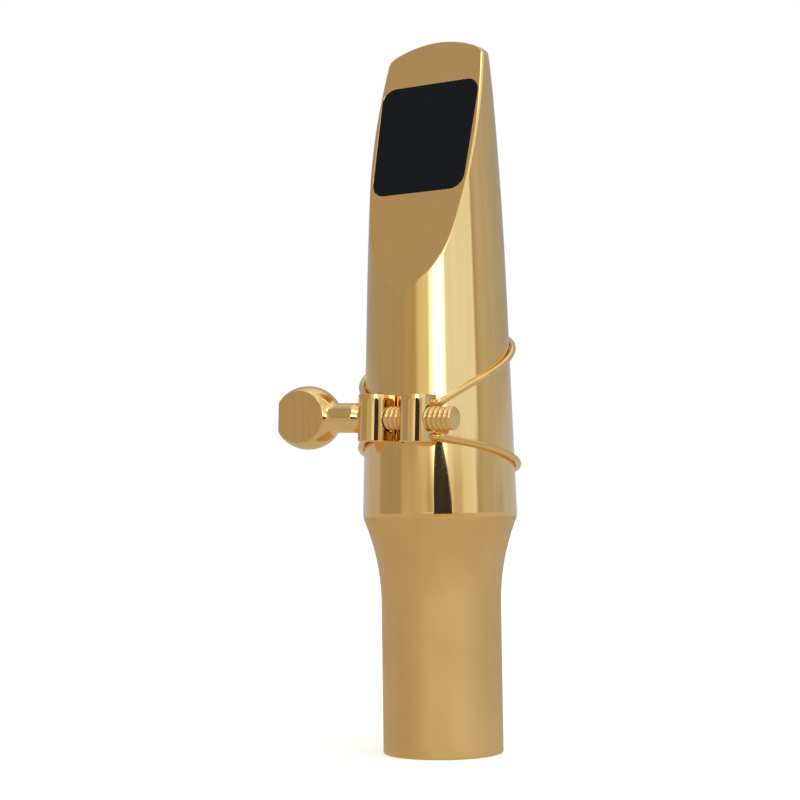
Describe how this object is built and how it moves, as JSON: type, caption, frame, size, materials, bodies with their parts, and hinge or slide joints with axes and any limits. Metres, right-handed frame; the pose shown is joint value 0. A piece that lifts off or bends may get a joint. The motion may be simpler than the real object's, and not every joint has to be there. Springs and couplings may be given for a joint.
{
  "type": "saxophone mouthpiece with ligature",
  "caption": "Metal tenor saxophone mouthpiece with a black bite pad, held by a two-wire ligature that a thumb screw draws together.",
  "frame": {"origin": "centre of the shank's end face, on the axis of the neck bore", "axes": "+Z along the mouthpiece towards the tip, -Y towards the beak and the clamp, +Y towards the reed, -X towards the screw's knob"},
  "size_m": [0.0305, 0.0283, 0.1069],
  "materials": {
    "body_gold": "gold plate over machined brass: mirror polished above the shoulder, satin on the beak and the shank",
    "pad_rubber": "matte black, faintly grained",
    "ligature_gold": "polished gold plate",
    "screw_gold": "polished gold plate with brushed flats on the knob"
  },
  "bodies": {
    "mouthpiece": {"mouthpiece_body": "body_gold", "bite_pad": "pad_rubber"},
    "ligature": {"reed_plate": "ligature_gold", "upper_wire": "ligature_gold", "lower_wire": "ligature_gold"},
    "plain_block": {"plain_block": "ligature_gold"},
    "tapped_block": {"tapped_block": "ligature_gold"},
    "thumb_screw": {"thumb_screw": "screw_gold"}
  },
  "joints": [
    {"name": "ligature_slide", "type": "slide", "parent": "mouthpiece", "child": "ligature", "axis": [0, 0, 1], "range_m": [0, 0.072]},
    {"name": "plain_block_spread", "type": "slide", "parent": "ligature", "child": "plain_block", "axis": [-0.9993, 0, 0.0384], "range_m": [0, 0.002], "deforming": ["upper_wire", "lower_wire"]},
    {"name": "tapped_block_spread", "type": "slide", "parent": "ligature", "child": "tapped_block", "axis": [0.9993, 0, -0.0384], "range_m": [0, 0.002], "deforming": ["upper_wire", "lower_wire"]},
    {"name": "screw_turn", "type": "hinge", "parent": "plain_block", "child": "thumb_screw", "pos_m": [0.00076, -0.01335, 0.04915], "axis": [-0.9993, 0, 0.0384], "range_deg": [0, 1800]}
  ],
  "couplings": [
    {"joint": "plain_block_spread", "follows": "tapped_block_spread", "ratio": 1},
    {"joint": "screw_turn", "follows": "tapped_block_spread", "rad_per_m": 15708}
  ]
}
